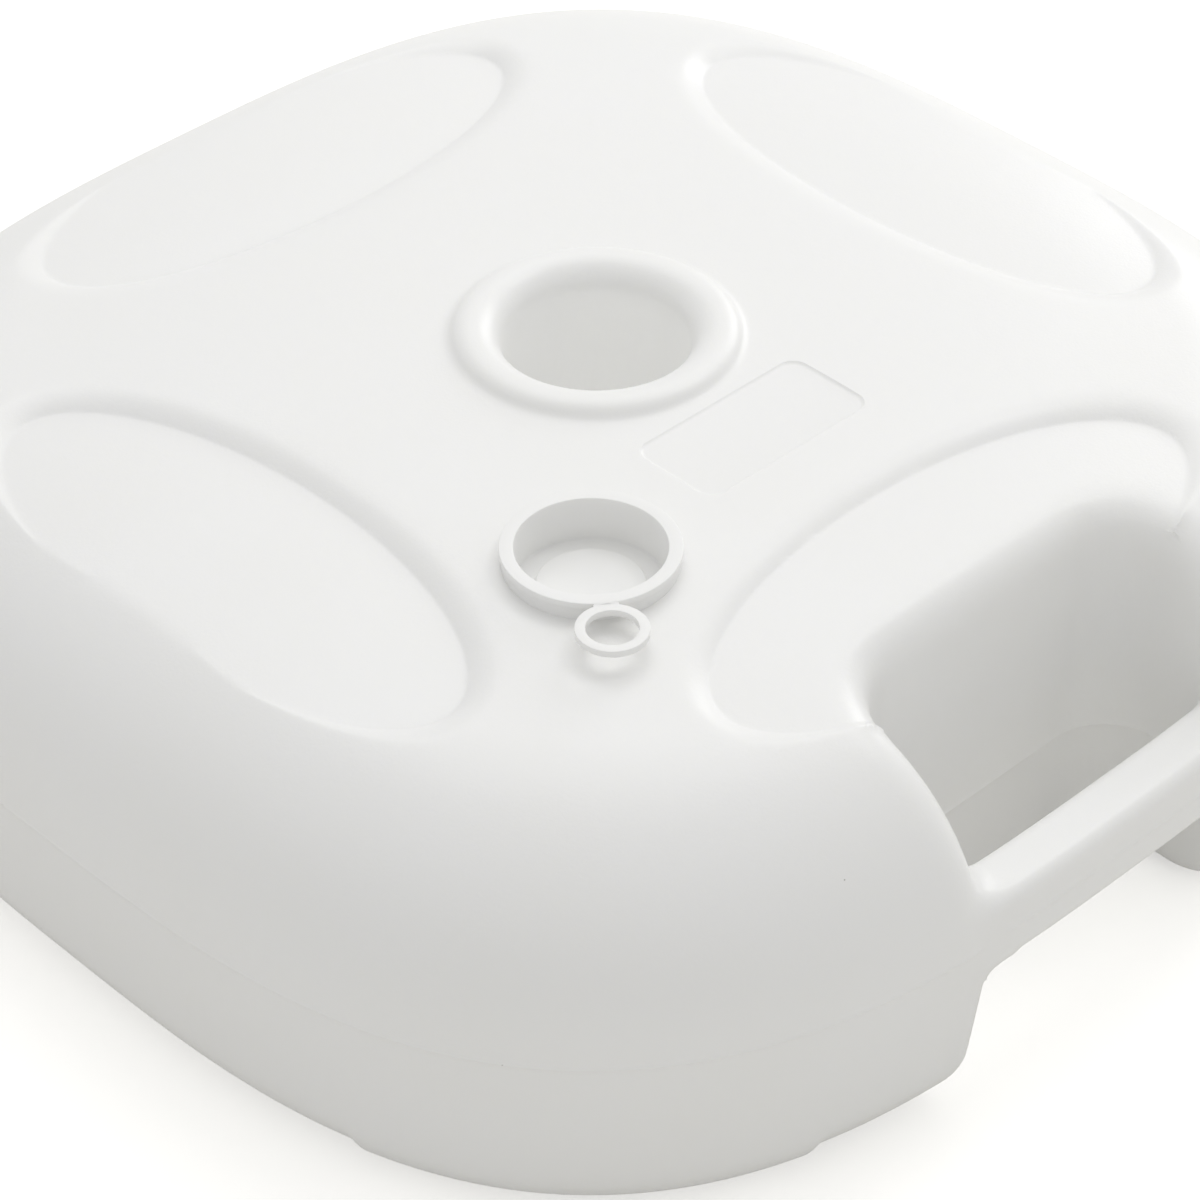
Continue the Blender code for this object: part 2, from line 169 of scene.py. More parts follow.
class PlugSizes(bpy.types.PropertyGroup):
    flange: length("Flange radius", "Radius of the flange", (PLUG_HIGH.x - PLUG_LOW.x) / 2)
    flange_thick: length("Flange thickness", "Thickness of the flange", 0.0022)
    cup: length("Cup radius", "Radius inside the cup", 0.0228)
    cup_wall: length("Cup wall", "Thickness of the cup's wall", 0.0016)
    cup_depth: length("Cup depth", "Depth of the cup below the flange's top", 0.0150)
    cup_floor: length("Cup floor", "Thickness of the cup's floor", 0.0020)
    disc: length("Disc radius", "Radius of the raised disc in the cup", 0.0165)
    disc_height: length("Disc height", "Height of the raised disc", 0.0012)
    rib: length("Rib height", "Height of the seal ribs", 0.0003)
    rib_width: length("Rib width", "Width of a seal rib", 0.0012)
    rib_first: length("First rib", "Distance of the first seal rib below the flange", 0.0045)
    rib_step: length("Rib step", "Distance from one seal rib to the next", 0.0040)
    gap: length("Gap", "Clearance between the plug and the neck", 0.0003)
    neck_wall: length("Neck wall", "Thickness of the filler neck", 0.0016)
    neck_height: length("Neck height", "Height of the filler neck above the top", 0.0020)
    neck_length: length("Neck length", "Length of the filler neck", 0.0120)


class RingSizes(bpy.types.PropertyGroup):
    hole: length("Hole radius", "Radius of the finger hole", 0.0078)
    width: length("Ring width", "Width of the ring's band", 0.0031)
    thick: length("Ring thickness", "Thickness of the ring", RING_HIGH.z - RING_LOW.z)
    edge: length("Edge rounding", "Rounding of the ring's edges", 0.00035)
    tab: length("Tab width", "Width of the tab that joins the ring to the flange", 0.0075)
    web: length("Web length", "Length of the bending web", 0.0018)


class Looks(bpy.types.PropertyGroup):
    tank: colour("Tank colour", "Colour of the tank's plastic", (0.93, 0.93, 0.922))
    plug: colour("Plug colour", "Colour of the plug's plastic", (0.93, 0.93, 0.922))
    fleck: colour("Fleck colour", "Colour of the specks in the plastic", (0.30, 0.28, 0.24))
    tank_roughness: ratio("Tank roughness", "Roughness of the tank's skin", 0.34)
    plug_roughness: ratio("Plug roughness", "Roughness of the plug's skin", 0.34)
    floor: colour("Floor colour", "Colour of the floor", (0.88, 0.87, 0.84))
    high_light: FloatProperty(name="High light", description="Power of the high light", default=9.8, unit="POWER")
    low_light: FloatProperty(name="Low light", description="Power of the low light", default=6.6, unit="POWER")
    front_light: FloatProperty(name="Front light", description="Power of the front light", default=2.6, unit="POWER")
    bore_light: FloatProperty(name="Bore light", description="Light that comes through the walls into the bore",
                              default=4.0, unit="POWER")
    surround: ratio("Surround", "Strength of the pale room round the object", 0.645)


# --- The tank's skin as a field -----------------------------------------------------------------------------------
# A field is (value, slope): the distance outside a surface, negative inside it, and its gradient at each point.


def rounded_meet(first, second, radius):
    """What is inside both fields, with a round edge of exactly this radius where they cross at right angles."""
    (a, slope_a), (b, slope_b) = first, second
    near_a = np.maximum(a + radius, 0)
    near_b = np.maximum(b + radius, 0)
    reach = np.hypot(near_a, near_b)
    deep = reach < TINY
    safe = np.where(deep, 1, reach)
    share_a = np.where(deep, a > b, near_a / safe)[:, None]
    share_b = np.where(deep, a <= b, near_b / safe)[:, None]
    return np.minimum(np.maximum(a, b), -radius) + reach, share_a * slope_a + share_b * slope_b


def blended_meet(first, second, radius, widest=1.0):
    """What is inside both fields. The edge is rounded less where the surfaces cross at a shallower angle."""
    (a, slope_a), (b, slope_b) = first, second
    turn = ((slope_a - slope_b) ** 2).sum(axis=1)
    width = np.maximum(np.minimum(radius * turn / 2, widest), TINY)
    share = np.clip(0.5 + (a - b) / (2 * width), 0, 1)
    value = a * share + b * (1 - share) + width * share * (1 - share)
    return value, share[:, None] * slope_a + (1 - share)[:, None] * slope_b


def turned_out(field):
    return -field[0], -field[1]


def blended_join(first, second, radius):
    """What is inside either field, with a hollow rounding where they meet."""
    return turned_out(blended_meet(turned_out(first), turned_out(second), radius))


def slopes(*parts):
    return np.stack(np.broadcast_arrays(*parts), axis=1).astype(float)


def body_field(points, tank):
    """The squarish body: drafted sides, crowned top, rounded shoulder and base, and feet at the corners."""
    x, y, z = points.T
    power = tank.squareness
    reach = np.maximum((np.abs(x) ** power + np.abs(y) ** power) ** (1 / power), TINY)
    over_x = np.sign(x) * (np.abs(x) / reach) ** (power - 1)
    over_y = np.sign(y) * (np.abs(y) / reach) ** (power - 1)
    lean = np.where(z > tank.parting, tank.draft_above, -tank.draft_below)
    side = reach - tank.half_width + lean * (z - tank.parting), slopes(over_x, over_y, lean)

    arc_height = tank.plateau - tank.crown - tank.shoulder
    arc_start = tank.half_width - tank.draft_above * (arc_height - tank.parting) - tank.shoulder
    run = (arc_start - tank.crown_start) * tank.crown_run
    share = np.clip((reach - tank.crown_start) / run, 0, 1)
    fall = tank.crown * 4 * (share - share ** 3) / run
    top_value = z - tank.plateau + tank.crown * (2 * share ** 2 - share ** 4)
    top = top_value, slopes(fall * over_x, fall * over_y, 1)

    from_x = tank.foot_inner - np.abs(x)
    from_y = tank.foot_inner - np.abs(y)
    step = np.clip(np.maximum(from_x, from_y) / tank.foot_edge + 0.5, 0, 1)
    steep = tank.foot_height * 6 * step * (1 - step) / tank.foot_edge
    steep_x = -steep * np.sign(x) * (from_x > from_y)
    steep_y = -steep * np.sign(y) * (from_x <= from_y)
    under = tank.foot_height * step ** 2 * (3 - 2 * step) - z, slopes(steep_x, steep_y, -1)
    return rounded_meet(rounded_meet(side, top, tank.shoulder), under, tank.base)


def dish_field(points, tank, dish, quarter):
    """What stays below one of the four shallow dishes, a tilted oval floor with a slope up round it, and how deep."""
    x, y, z = points.T
    out_x, out_y = round(math.cos(math.tau * quarter / 4)), round(math.sin(math.tau * quarter / 4))
    out = x * out_x + y * out_y - dish.distance
    along = y * out_x - x * out_y
    oval = np.hypot(out / dish.short, along / dish.long)
    pull_out = out / dish.short ** 2
    pull_along = along / dish.long ** 2
    pull = np.maximum(np.hypot(pull_out, pull_along), TINY)
    outside = oval * (oval - 1) / pull
    soft = np.hypot(outside, dish.crease)
    floor = tank.plateau - dish.depth - dish.tilt * out + dish.dome * np.maximum(1 - oval ** 2, 0)
    floor -= dish.sag * (along / dish.long) ** 2
    above = z - floor
    floor += (outside + soft) / (2 * dish.ramp)
    steep = (1 + outside / soft) / (2 * dish.ramp * pull) - 2 * dish.dome * (oval < 1)
    fall_out = dish.tilt - steep * pull_out
    fall_along = 2 * dish.sag * along / dish.long ** 2 - steep * pull_along
    slope = slopes(fall_out * out_x - fall_along * out_y, fall_out * out_y + fall_along * out_x, 1)
    return (z - floor, slope), above


def bead_field(points, tank, mouth):
    """The raised rim round the bore, level inside its crest and elliptical outside it."""
    x, y, z = points.T
    radius = np.maximum(np.hypot(x, y), TINY)
    out = (radius - mouth.bead + mouth.bead_shoulder) / mouth.bead_shoulder
    up = (z - tank.plateau) / mouth.bead_height
    pull_out = np.maximum(out, 0) / mouth.bead_shoulder
    pull_up = np.maximum(up, 0) / mouth.bead_height
    pull = np.maximum(np.hypot(pull_out, pull_up), TINY)
    oval = np.hypot(np.maximum(out, 0), np.maximum(up, 0))
    value = oval * (oval - 1) / pull
    inner = out <= 0
    value = np.where(inner, z - tank.plateau - mouth.bead_height, value)
    out_slope = np.where(inner, 0, pull_out / pull)
    return value, slopes(out_slope * x / radius, out_slope * y / radius, np.where(inner, 1, pull_up / pull))


def bore_field(points, mouth):
    """What stays outside the pole bore."""
    x, y, _ = points.T
    radius = np.maximum(np.hypot(x, y), TINY)
    return mouth.bore - radius, slopes(-x / radius, -y / radius, 0)


def notch_field(points, tank, handle):
    """The void of the handle notch, open to -Y, upwards and downwards; its walls lean apart from the flash line."""
    x, y, z = points.T
    lean = handle.draft * np.sign(z - handle.flash)
    spread = lean * (z - handle.flash) + handle.draft * (handle.flash - tank.parting)
    sides = np.abs(x) - handle.half_width - spread, slopes(np.sign(x), 0, -lean)
    back = y + handle.back - spread, slopes(0, 1, -lean)
    return rounded_meet(sides, back, handle.corner)


def bar_field(points, tank, handle):
    """The grip bar: a rounded rectangle swept behind the gentle bulge of the side."""
    x, y, z = points.T
    power = tank.squareness
    share = np.clip(np.abs(x) / tank.half_width, 0, 0.9)
    side = tank.half_width * (1 - share ** power) ** (1 / power)
    bulge = np.sign(x) * share ** (power - 1) * (1 - share ** power) ** (1 / power - 1)
    across = y + side - handle.set_back - handle.thick / 2
    up = z - tank.parting
    past_across = np.abs(across) - handle.thick / 2 + handle.edge
    past_up = np.abs(up) - handle.tall / 2 + handle.edge
    corner = np.hypot(np.maximum(past_across, 0), np.maximum(past_up, 0))
    safe = np.maximum(corner, TINY)
    flat = corner < TINY
    share_across = np.where(flat, past_across > past_up, np.maximum(past_across, 0) / safe) * np.sign(across)
    share_up = np.where(flat, past_across <= past_up, np.maximum(past_up, 0) / safe) * np.sign(up)
    value = corner + np.minimum(np.maximum(past_across, past_up), 0) - handle.edge
    value = np.where(np.abs(x) > handle.half_width + handle.overlap, 1, value)
    return value, slopes(-share_across * bulge, share_across, share_up)


def tank_field(points, sizes):
    """The whole skin of the tank, without its filler neck, its panel and its mould lines."""
    tank, mouth, dish, handle = sizes.tank, sizes.mouth, sizes.dish, sizes.handle
    skin = body_field(points, tank)
    for quarter in range(4):
        below, above = dish_field(points, tank, dish, quarter)
        skin = blended_meet(skin, below, dish.rollover, dish.reach * np.maximum(above - skin[0], 0))
    skin = blended_join(skin, bead_field(points, tank, mouth), mouth.foot)
    upper = points[:, 2] > tank.parting
    flare = mouth.bead - mouth.bead_shoulder - mouth.bore - mouth.crest
    skin = rounded_meet(skin, bore_field(points, mouth), np.where(upper, flare, mouth.lower_edge))
    share = np.clip((points[:, 2] - tank.parting) / handle.tall + 0.5, 0, 1)
    rollover = handle.lower_rollover + (handle.rollover - handle.lower_rollover) * share
    skin = blended_meet(skin, turned_out(notch_field(points, tank, handle)), rollover)
    return blended_join(skin, bar_field(points, tank, handle), handle.fillet)


def mould_lines(points, sizes):
    """How far the skin stands out along the mould's parting line and along the flash line in the notch."""
    tank, handle = sizes.tank, sizes.handle
    x, y, z = points.T
    outer = np.hypot(x, y) > sizes.mouth.bead
    in_notch = np.abs(notch_field(points, tank, handle)[0]) < tank.wall
    line = np.maximum(1 - np.abs(z - tank.parting) / tank.seam_run, 0) * outer * ~in_notch
    flash = np.maximum(1 - np.abs(z - handle.flash) / tank.seam_run, 0) * in_notch
    return tank.seam * (line + flash)


def dropped(points, sizes, level, lines=False):
    """The points moved straight onto the skin, or onto the surface a wall's thickness inside it."""
    points = points.copy()
    for _ in range(3):
        value, slope = tank_field(points, sizes)
        off = value - level
        if lines:
            off = off - mould_lines(points, sizes)
        points -= slope * (off / np.maximum((slope ** 2).sum(axis=1), 0.05))[:, None]
    return points


# --- Mesh work ----------------------------------------------------------------------------------------------------


def coordinates(mesh):
    found = np.empty(len(mesh.vertices) * 3)
    mesh.vertices.foreach_get("co", found)
    return found.reshape(-1, 3)


def edge_ends(mesh):
    found = np.empty(len(mesh.edges) * 2, np.int64)
    mesh.edges.foreach_get("vertices", found)
    return found.reshape(-1, 2)


def settle(mesh, sizes, level, rounds):
    """Evens out the mesh while it lies on the skin: each vertex goes halfway to its neighbours, then drops back."""
    points = coordinates(mesh)
    first, second = edge_ends(mesh).T
    count = len(points)
    neighbours = np.bincount(first, minlength=count) + np.bincount(second, minlength=count)
    for _ in range(rounds):
        middle = np.empty_like(points)
        for axis in range(3):
            column = points[:, axis]
            total = np.bincount(first, column[second], count) + np.bincount(second, column[first], count)
            middle[:, axis] = total / np.maximum(neighbours, 1)
        points = dropped((points + middle) / 2, sizes, level)
    mesh.vertices.foreach_set("co", points.ravel())
    mesh.update()


def refine(mesh, sizes, bend, shortest):
    """Halves the faces across which the skin turns by more than the bend, down to the shortest edge."""
    points = coordinates(mesh)
    slope = tank_field(points, sizes)[1]
    slope /= np.linalg.norm(slope, axis=1)[:, None]
    first, second = edge_ends(mesh).T
    turned = (slope[first] * slope[second]).sum(axis=1) < math.cos(bend)
    long = np.linalg.norm(points[first] - points[second], axis=1) > shortest
    chosen = np.flatnonzero(turned & long)
    bm = bmesh.new()
    bm.from_mesh(mesh)
    bm.edges.ensure_lookup_table()
    faces = {face for index in chosen for face in bm.edges[index].link_faces}
    edges = list({edge for face in faces for edge in face.edges})
    bmesh.ops.subdivide_edges(bm, edges=edges, cuts=1, use_grid_fill=True)
    bm.to_mesh(mesh)
    bm.free()


def rounded_block(low, high, corner=0.0, top=0.0, bottom=0.0, segments=8):
    """A box with its upright edges and its top and bottom edges rounded."""
    middle = (low + high) / 2
    bm = bmesh.new()
    bmesh.ops.create_cube(bm, size=1, matrix=Matrix.Translation(middle) @ Matrix.Diagonal((*(high - low), 1)))
    upright = [edge for edge in bm.edges if abs(edge.verts[0].co.z - edge.verts[1].co.z) > TINY]
    if corner:
        bmesh.ops.bevel(bm, geom=upright, offset=corner, offset_type="OFFSET", segments=segments, profile=0.5,
                        affect="EDGES", material=-1)
    for height, radius in ((high.z, top), (low.z, bottom)):
        if radius:
            rim = [edge for edge in bm.edges if all(abs(vert.co.z - height) < TINY for vert in edge.verts)]
            bmesh.ops.bevel(bm, geom=rim, offset=radius, offset_type="OFFSET", segments=segments, profile=0.5,
                            affect="EDGES", material=-1)
    bmesh.ops.recalc_face_normals(bm, faces=bm.faces)
    return bm


def cylinder(radius, low, high, middle=Vector((0, 0, 0)), sides=96):
    bm = bmesh.new()
    place = Matrix.Translation((middle.x, middle.y, (low + high) / 2))
    bmesh.ops.create_cone(bm, cap_ends=True, segments=sides, radius1=radius, radius2=radius, depth=high - low,
                          matrix=place)
    return bm


def turned(profile, middle, steps):
    """A solid turned about an upright axis from (radius, height, rounding) corners."""
    bm = bmesh.new()
    corners = [bm.verts.new((radius, 0, height)) for radius, height, _ in profile]
    bm.faces.new(corners)
    for vert, (_, _, rounding) in zip(corners, profile):
        if rounding:
            bmesh.ops.bevel(bm, geom=[vert], offset=rounding, offset_type="OFFSET", segments=4, profile=0.5,
                            affect="VERTICES", material=-1)
    bmesh.ops.delete(bm, geom=bm.faces[:], context="FACES_ONLY")
    on_axis = [edge for edge in bm.edges if all(vert.co.x < TINY for vert in edge.verts)]
    bmesh.ops.delete(bm, geom=on_axis, context="EDGES")
    bmesh.ops.spin(bm, geom=bm.verts[:] + bm.edges[:], cent=(0, 0, 0), axis=(0, 0, 1), angle=math.tau, steps=steps,
                   use_merge=True)
    bmesh.ops.remove_doubles(bm, verts=bm.verts[:], dist=TINY)
    bmesh.ops.recalc_face_normals(bm, faces=bm.faces[:])
    bmesh.ops.translate(bm, vec=middle, verts=bm.verts[:])
    return bm


def new_object(name, bm):
    mesh = bpy.data.meshes.new(name)
    bm.to_mesh(mesh)
    bm.free()
    made = bpy.data.objects.new(name, mesh)
    bpy.context.scene.collection.objects.link(made)
    return made


def add_boolean(target, operation, bm):
    """Adds a Boolean with a helper that is removed when the modifiers are applied."""
    helper = new_object(f"{target.name}_{len(target.modifiers)}", bm)
    helper.hide_render = True
    modifier = target.modifiers.new(operation, "BOOLEAN")
    modifier.operation = operation
    modifier.solver = "EXACT"
    modifier.object = helper
    return modifier


def apply_modifiers(target):
    """Makes the object's shown shape its mesh, and removes the helpers that cut it."""
    graph = bpy.context.evaluated_depsgraph_get()
    helpers = [modifier.object for modifier in target.modifiers if modifier.type == "BOOLEAN"]
    made = bpy.data.meshes.new_from_object(target.evaluated_get(graph), depsgraph=graph)
    target.modifiers.clear()
    old = target.data
    target.data = made
    made.name = target.name
    bpy.data.meshes.remove(old)
    for helper in helpers:
        bpy.data.objects.remove(helper, do_unlink=True)


def finish_piece(piece, material, body, node, sharp=math.radians(30)):
    """Gives a piece its plastic, its shading and its place in the frame."""
    piece.data.materials.clear()
    piece.data.materials.append(material)
    piece.data.shade_smooth()
    piece.data.set_sharp_from_angle(angle=sharp)
    if body:
        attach(piece, body)
    if node:
        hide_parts(node)


# --- The pieces ---------------------------------------------------------------------------------------------------


def tank_blank(name, sizes, grid):
    """A rough tank of blocks in an even mesh: body, notch, grip bar and bore, ready to be settled on the skin."""
    tank, handle = sizes.tank, sizes.handle
    half = tank.half_width
    past = half
    blank = new_object(name, rounded_block(Vector((-half, -half, 0)), Vector((half, half, tank.plateau)),
                                           corner=half * 0.68, top=tank.shoulder * 0.8, bottom=tank.base))
    notch_low = Vector((-handle.half_width, -half - past, -past))
    add_boolean(blank, "DIFFERENCE", rounded_block(notch_low, Vector((handle.half_width, -handle.back, past)),
                                                   corner=handle.corner))
    front = half - handle.set_back
    reach = handle.half_width + handle.overlap
    bar_low = Vector((-reach, -front, tank.parting - handle.tall / 2))
    add_boolean(blank, "UNION", rounded_block(bar_low, Vector((reach, handle.thick - front, tank.parting
                                                               + handle.tall / 2))))
    add_boolean(blank, "DIFFERENCE", cylinder(sizes.mouth.bore, -past, past))
    remesh = blank.modifiers.new("even mesh", "REMESH")
    remesh.mode = "VOXEL"
    remesh.voxel_size = grid
    apply_modifiers(blank)
    return blank


def mark_mould_lines(mesh, sizes):
    """Cuts edges round the tank where its mould lines run, and lifts them."""
    tank = sizes.tank
    bm = bmesh.new()
    bm.from_mesh(mesh)
    for height in (tank.parting, sizes.handle.flash):
        for step in (-1, 0, 1):
            bmesh.ops.bisect_plane(bm, geom=bm.verts[:] + bm.edges[:] + bm.faces[:], dist=tank.seam,
                                   plane_co=(0, 0, height + step * tank.seam_run), plane_no=(0, 0, 1))
    bm.to_mesh(mesh)
    bm.free()
    mesh.vertices.foreach_set("co", dropped(coordinates(mesh), sizes, 0, lines=True).ravel())
    mesh.update()


def add_inner_skin(mesh, inner):
    """Joins the hollow's skin, turned inside out, to the tank's outer skin."""
    bm = bmesh.new()
    bm.from_mesh(inner)
    bmesh.ops.reverse_faces(bm, faces=bm.faces[:])
    bm.to_mesh(inner)
    bm.clear()
    bm.from_mesh(mesh)
    bm.from_mesh(inner)
    bm.to_mesh(mesh)
    bm.free()


def panel_block(sizes):
    """The plain sunken panel beside the handle's dish."""
    tank, dish = sizes.tank, sizes.dish
    floor = tank.plateau - dish.panel_depth
    low = Vector((-dish.panel_long, -dish.panel_middle - dish.panel_short, floor))
    high = Vector((dish.panel_long, -dish.panel_middle + dish.panel_short, floor + tank.wall))
    bm = rounded_block(low, high, corner=dish.panel_corner, bottom=dish.panel_edge)
    for vert in bm.verts:
        vert.co.z += dish.panel_fall * (vert.co.y - high.y)
    return bm


def make_tank(sizes):
    tank, plug = sizes.tank, sizes.plug
    piece = tank_blank("tank_skin", sizes, tank.grid)
    settle(piece.data, sizes, 0, 12)
    for bend, shortest in ((12, 0.0026), (12, 0.0014), (20, 0.0008)):
        refine(piece.data, sizes, math.radians(bend), shortest)
        settle(piece.data, sizes, 0, 2)
    mark_mould_lines(piece.data, sizes)
    inner = tank_blank("inner_skin", sizes, tank.inner_grid)
    settle(inner.data, sizes, -tank.wall, 12)
    add_inner_skin(piece.data, inner.data)
    bpy.data.objects.remove(inner, do_unlink=True)
    neck_top = tank.plateau + plug.neck_height
    neck_bore = plug.cup + plug.cup_wall + plug.rib + plug.gap
    neck_low = neck_top - plug.neck_length
    neck = cylinder(neck_bore + plug.neck_wall, neck_low, neck_top, FILLER)
    add_boolean(piece, "DIFFERENCE", panel_block(sizes))
    add_boolean(piece, "UNION", neck)
    add_boolean(piece, "DIFFERENCE", cylinder(neck_bore, neck_low - tank.wall, neck_top + tank.wall, FILLER))
    apply_modifiers(piece)
    return piece


def make_plug(sizes):
    """The push-in plug: a flat flange, a cup with a raised disc in its floor, and two seal ribs."""
    plug = sizes.plug
    floor = -plug.cup_depth
    outer = plug.cup + plug.cup_wall
    soft = plug.rib
    profile = [(0, floor + plug.disc_height, 0), (plug.disc, floor + plug.disc_height, 2 * soft),
               (plug.disc, floor, soft), (plug.cup, floor, 3 * soft), (plug.cup, 0, soft), (plug.flange, 0, soft),
               (plug.flange, -plug.flange_thick, soft), (outer, -plug.flange_thick, soft / 2)]
    for step in range(2):
        level = -plug.flange_thick - plug.rib_first - step * plug.rib_step
        profile += [(outer, level + plug.rib_width / 2, 0), (outer + plug.rib, level, soft / 3),
                    (outer, level - plug.rib_width / 2, 0)]
    profile += [(outer, floor - plug.cup_floor, 2 * soft), (0, floor - plug.cup_floor, 0)]
    return new_object("filler_plug_skin", turned(profile, FILLER, 144))


def fold_frame():
    """Origin on the ring's fold, +X away from the plug, +Z up."""
    out = Vector((FOLD.x - FILLER.x, FOLD.y - FILLER.y, 0)).normalized()
    return Matrix.Translation(FOLD) @ out.to_track_quat("X", "Z").to_matrix().to_4x4()


def make_ring(sizes):
    """The finger ring and its tab, cut clear of the flange."""
    ring, plug = sizes.ring, sizes.plug
    place = fold_frame()
    outer = ring.hole + ring.width
    middle = place @ Vector((plug.gap / 2 + outer, 0, 0))
    piece = new_object("pull_ring_skin", cylinder(outer, FOLD.z - ring.thick, FOLD.z, middle, 128))
    root = ring.width
    block = rounded_block(Vector((-root, -ring.tab / 2, -ring.thick)), Vector((root, ring.tab / 2, 0)))
    bmesh.ops.transform(block, matrix=place, verts=block.verts[:])
    add_boolean(piece, "UNION", block)
    add_boolean(piece, "DIFFERENCE", cylinder(ring.hole, FOLD.z - ring.thick - plug.gap, FOLD.z + plug.gap, middle))
    add_boolean(piece, "DIFFERENCE", cylinder(plug.flange + plug.gap, FOLD.z - ring.thick - plug.gap,
                                              FOLD.z + plug.gap, FILLER, 144))
    bevel = piece.modifiers.new("soft edges", "BEVEL")
    bevel.width = ring.edge
    bevel.segments = 3
    bevel.limit_method = "ANGLE"
    bevel.angle_limit = math.radians(40)
    apply_modifiers(piece)
    return piece


def make_web(sizes):
    """The thin web that the ring bends on, moulded between the flange and the tab."""
    ring, plug = sizes.ring, sizes.plug
    half = ring.web / 2
    sink = plug.rib / 10
    low = Vector((-half, ring.edge - ring.tab / 2, -ring.thick / 2))
    bm = rounded_block(low, Vector((half, ring.tab / 2 - ring.edge, -sink)))
    along = [edge for edge in bm.edges if abs(edge.verts[0].co.x - edge.verts[1].co.x) > TINY]
    bmesh.ops.subdivide_edges(bm, edges=along, cuts=9, use_grid_fill=True)
    bmesh.ops.transform(bm, matrix=fold_frame(), verts=bm.verts[:])
    return new_object("ring_web", bm)


# --- Plastics -----------------------------------------------------------------------------------------------------


def link(tree, source, target):
    tree.links.new(source, target)


def mould_grain_group():
    """Marks of a polyethylene moulding: fine grain, slow waves, cloudy patches and sparse specks."""
    group = bpy.data.node_groups.new("mould grain", "ShaderNodeTree")
    for name, default in (("Grain size", 0.0009), ("Wave size", 0.012), ("Cloud size", 0.07), ("Speck size", 0.0004)):
        group.interface.new_socket(name=name, in_out="INPUT", socket_type="NodeSocketFloat").default_value = default
    for name in ("Height", "Cloud", "Specks"):
        group.interface.new_socket(name=name, in_out="OUTPUT", socket_type="NodeSocketFloat")
    nodes = group.nodes
    inputs = nodes.new("NodeGroupInput")
    outputs = nodes.new("NodeGroupOutput")
    place = nodes.new("ShaderNodeTexCoord")

    def per(name):
        node = nodes.new("ShaderNodeMath")
        node.operation = "DIVIDE"
        node.inputs[0].default_value = 1.0
        link(group, inputs.outputs[name], node.inputs[1])
        return node.outputs[0]

    def noise(name, detail):
        node = nodes.new("ShaderNodeTexNoise")
        node.inputs["Detail"].default_value = detail
        link(group, place.outputs["Object"], node.inputs["Vector"])
        link(group, per(name), node.inputs["Scale"])
        return node.outputs["Fac"]

    grain = noise("Grain size", 2.0)
    wave = noise("Wave size", 1.0)
    cloud = noise("Cloud size", 3.0)
    height = nodes.new("ShaderNodeMix")
    height.inputs["Factor"].default_value = 0.60
    link(group, grain, height.inputs["A"])
    link(group, wave, height.inputs["B"])
    cells = nodes.new("ShaderNodeTexVoronoi")
    cells.inputs["Scale"].default_value = SPECK_CELLS
    link(group, place.outputs["Object"], cells.inputs["Vector"])
    metres = nodes.new("ShaderNodeMath")
    metres.operation = "DIVIDE"
    metres.inputs[1].default_value = SPECK_CELLS
    link(group, cells.outputs["Distance"], metres.inputs[0])
    speck = nodes.new("ShaderNodeMath")
    speck.operation = "LESS_THAN"
    link(group, metres.outputs[0], speck.inputs[0])
    link(group, inputs.outputs["Speck size"], speck.inputs[1])
    pick = nodes.new("ShaderNodeSeparateColor")
    link(group, cells.outputs["Color"], pick.inputs["Color"])
    rare = nodes.new("ShaderNodeMath")
    rare.operation = "LESS_THAN"
    rare.inputs[1].default_value = SPECKED_SHARE
    link(group, pick.outputs["Red"], rare.inputs[0])
    both = nodes.new("ShaderNodeMath")
    both.operation = "MULTIPLY"
    link(group, speck.outputs[0], both.inputs[0])
    link(group, rare.outputs[0], both.inputs[1])
    link(group, height.outputs["Result"], outputs.inputs["Height"])
    link(group, cloud, outputs.inputs["Cloud"])
    link(group, both.outputs[0], outputs.inputs["Specks"])
    return group


